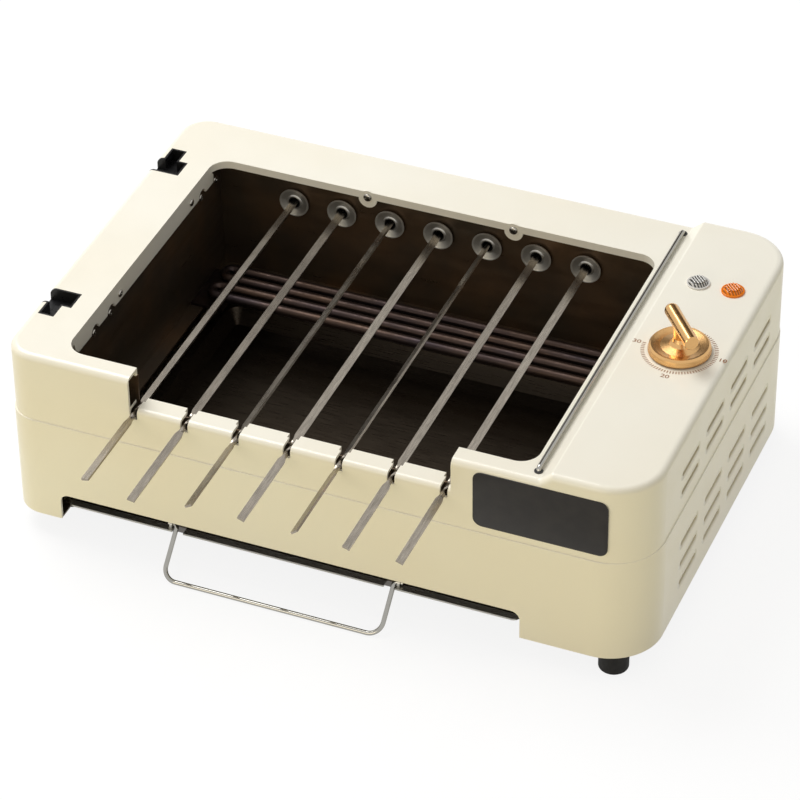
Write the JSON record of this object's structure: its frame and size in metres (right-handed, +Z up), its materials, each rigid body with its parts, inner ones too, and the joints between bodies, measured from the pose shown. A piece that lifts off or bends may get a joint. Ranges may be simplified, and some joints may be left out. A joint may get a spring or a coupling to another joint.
{
  "type": "electric skewer grill",
  "caption": "Cream electric skewer grill with an open roasting bay, gear-driven turning skewers, pull-out drip tray and timer knob.",
  "frame": {"origin": "on the table plane, under the middle of the housing", "axes": "+X towards the control panel, -Y towards the front with the skewer handles, +Z up"},
  "size_m": [0.433, 0.368, 0.1725],
  "materials": {
    "cream_enamel": "satin",
    "black_enamel": "satin",
    "dark_liner": "matte",
    "rubber": "matte",
    "plated_steel": "satin",
    "tube_sheath": "satin",
    "black_plastic": "satin",
    "chrome": "polished",
    "clear_lens": "gloss",
    "orange_lens": "gloss",
    "skewer_steel": "brushed",
    "nylon": "satin",
    "gold": "polished"
  },
  "bodies": {
    "housing": {"upper_shell": "cream_enamel", "lower_shell": "cream_enamel", "base_plate": "black_enamel", "rubber_feet": "rubber", "bay_liner": "dark_liner", "liner_back_wall": "dark_liner", "gear_plate": "plated_steel", "gear_motor": "plated_steel", "heating_tube_front": "tube_sheath", "heating_tube_back": "tube_sheath", "element_brackets": "plated_steel", "tray_rails": "plated_steel", "timer_body": "black_plastic", "lamp_bezels": "chrome", "lamp_lens_clear": "clear_lens", "lamp_lens_orange": "orange_lens", "rest_wire": "chrome", "lid_socket_front": "black_plastic", "lid_socket_back": "black_plastic", "power_inlet": "black_plastic", "thermostat": "plated_steel", "terminal_block": "black_plastic", "heat_shield": "plated_steel"},
    "spindle_1": {"skewer_1": "skewer_steel", "drive_socket_1": "chrome", "spindle_gear_1": "nylon"},
    "spindle_2": {"skewer_2": "skewer_steel", "drive_socket_2": "chrome", "spindle_gear_2": "nylon"},
    "spindle_3": {"skewer_3": "skewer_steel", "drive_socket_3": "chrome", "spindle_gear_3": "nylon"},
    "spindle_4": {"skewer_4": "skewer_steel", "drive_socket_4": "chrome", "spindle_gear_4": "nylon"},
    "spindle_5": {"skewer_5": "skewer_steel", "drive_socket_5": "chrome", "spindle_gear_5": "nylon"},
    "spindle_6": {"skewer_6": "skewer_steel", "drive_socket_6": "chrome", "spindle_gear_6": "nylon"},
    "spindle_7": {"skewer_7": "skewer_steel", "drive_socket_7": "chrome", "spindle_gear_7": "nylon"},
    "idler_1": {"idler_gear_1": "nylon"},
    "idler_2": {"idler_gear_2": "nylon"},
    "idler_3": {"idler_gear_3": "nylon"},
    "idler_4": {"idler_gear_4": "nylon"},
    "idler_5": {"idler_gear_5": "nylon"},
    "idler_6": {"idler_gear_6": "nylon"},
    "pinion": {"motor_pinion": "nylon"},
    "tray": {"drip_tray": "black_enamel"},
    "bail": {"tray_handle": "chrome"},
    "knob": {"timer_shaft": "plated_steel", "timer_knob": "gold", "knob_lever": "gold"}
  },
  "joints": [
    {"name": "spindle_4_turn", "type": "hinge", "parent": "housing", "child": "spindle_4", "pos_m": [-0.0202, 0.115, 0.1145], "axis": [0, 1, 0], "continuous": true},
    {"name": "spindle_1_turn", "type": "hinge", "parent": "housing", "child": "spindle_1", "pos_m": [-0.1246, 0.115, 0.1145], "axis": [0, 1, 0], "continuous": true},
    {"name": "spindle_2_turn", "type": "hinge", "parent": "housing", "child": "spindle_2", "pos_m": [-0.0898, 0.115, 0.1145], "axis": [0, 1, 0], "continuous": true},
    {"name": "spindle_3_turn", "type": "hinge", "parent": "housing", "child": "spindle_3", "pos_m": [-0.055, 0.115, 0.1145], "axis": [0, 1, 0], "continuous": true},
    {"name": "spindle_5_turn", "type": "hinge", "parent": "housing", "child": "spindle_5", "pos_m": [0.0146, 0.115, 0.1145], "axis": [0, 1, 0], "continuous": true},
    {"name": "spindle_6_turn", "type": "hinge", "parent": "housing", "child": "spindle_6", "pos_m": [0.0494, 0.115, 0.1145], "axis": [0, 1, 0], "continuous": true},
    {"name": "spindle_7_turn", "type": "hinge", "parent": "housing", "child": "spindle_7", "pos_m": [0.0842, 0.115, 0.1145], "axis": [0, 1, 0], "continuous": true},
    {"name": "idler_1_turn", "type": "hinge", "parent": "housing", "child": "idler_1", "pos_m": [-0.1072, 0.115, 0.11263], "axis": [0, 1, 0], "continuous": true},
    {"name": "idler_2_turn", "type": "hinge", "parent": "housing", "child": "idler_2", "pos_m": [-0.0724, 0.115, 0.11263], "axis": [0, 1, 0], "continuous": true},
    {"name": "idler_3_turn", "type": "hinge", "parent": "housing", "child": "idler_3", "pos_m": [-0.0376, 0.115, 0.11263], "axis": [0, 1, 0], "continuous": true},
    {"name": "idler_4_turn", "type": "hinge", "parent": "housing", "child": "idler_4", "pos_m": [-0.0028, 0.115, 0.11263], "axis": [0, 1, 0], "continuous": true},
    {"name": "idler_5_turn", "type": "hinge", "parent": "housing", "child": "idler_5", "pos_m": [0.032, 0.115, 0.11263], "axis": [0, 1, 0], "continuous": true},
    {"name": "idler_6_turn", "type": "hinge", "parent": "housing", "child": "idler_6", "pos_m": [0.0668, 0.115, 0.11263], "axis": [0, 1, 0], "continuous": true},
    {"name": "pinion_turn", "type": "hinge", "parent": "housing", "child": "pinion", "pos_m": [-0.0202, 0.115, 0.09575], "axis": [0, 1, 0], "continuous": true},
    {"name": "tray_slide", "type": "slide", "parent": "housing", "child": "tray", "axis": [0, -1, 0], "range_m": [0, 0.2]},
    {"name": "bail_swing", "type": "hinge", "parent": "tray", "child": "bail", "pos_m": [-0.0271, -0.1365, 0.027], "axis": [-1, 0, 0], "range_deg": [0, 62]},
    {"name": "timer_turn", "type": "hinge", "parent": "housing", "child": "knob", "pos_m": [0.1839, 0.0028, 0.1477], "axis": [0, 0, 1], "range_deg": [-129, 141]}
  ],
  "couplings": [
    {"joint": "spindle_1_turn", "follows": "spindle_4_turn", "ratio": 1},
    {"joint": "spindle_2_turn", "follows": "spindle_4_turn", "ratio": 1},
    {"joint": "spindle_3_turn", "follows": "spindle_4_turn", "ratio": 1},
    {"joint": "spindle_5_turn", "follows": "spindle_4_turn", "ratio": 1},
    {"joint": "spindle_6_turn", "follows": "spindle_4_turn", "ratio": 1},
    {"joint": "spindle_7_turn", "follows": "spindle_4_turn", "ratio": 1},
    {"joint": "idler_1_turn", "follows": "spindle_4_turn", "ratio": -1.3333},
    {"joint": "idler_2_turn", "follows": "spindle_4_turn", "ratio": -1.3333},
    {"joint": "idler_3_turn", "follows": "spindle_4_turn", "ratio": -1.3333},
    {"joint": "idler_4_turn", "follows": "spindle_4_turn", "ratio": -1.3333},
    {"joint": "idler_5_turn", "follows": "spindle_4_turn", "ratio": -1.3333},
    {"joint": "idler_6_turn", "follows": "spindle_4_turn", "ratio": -1.3333},
    {"joint": "pinion_turn", "follows": "spindle_4_turn", "ratio": -1.1429}
  ]
}
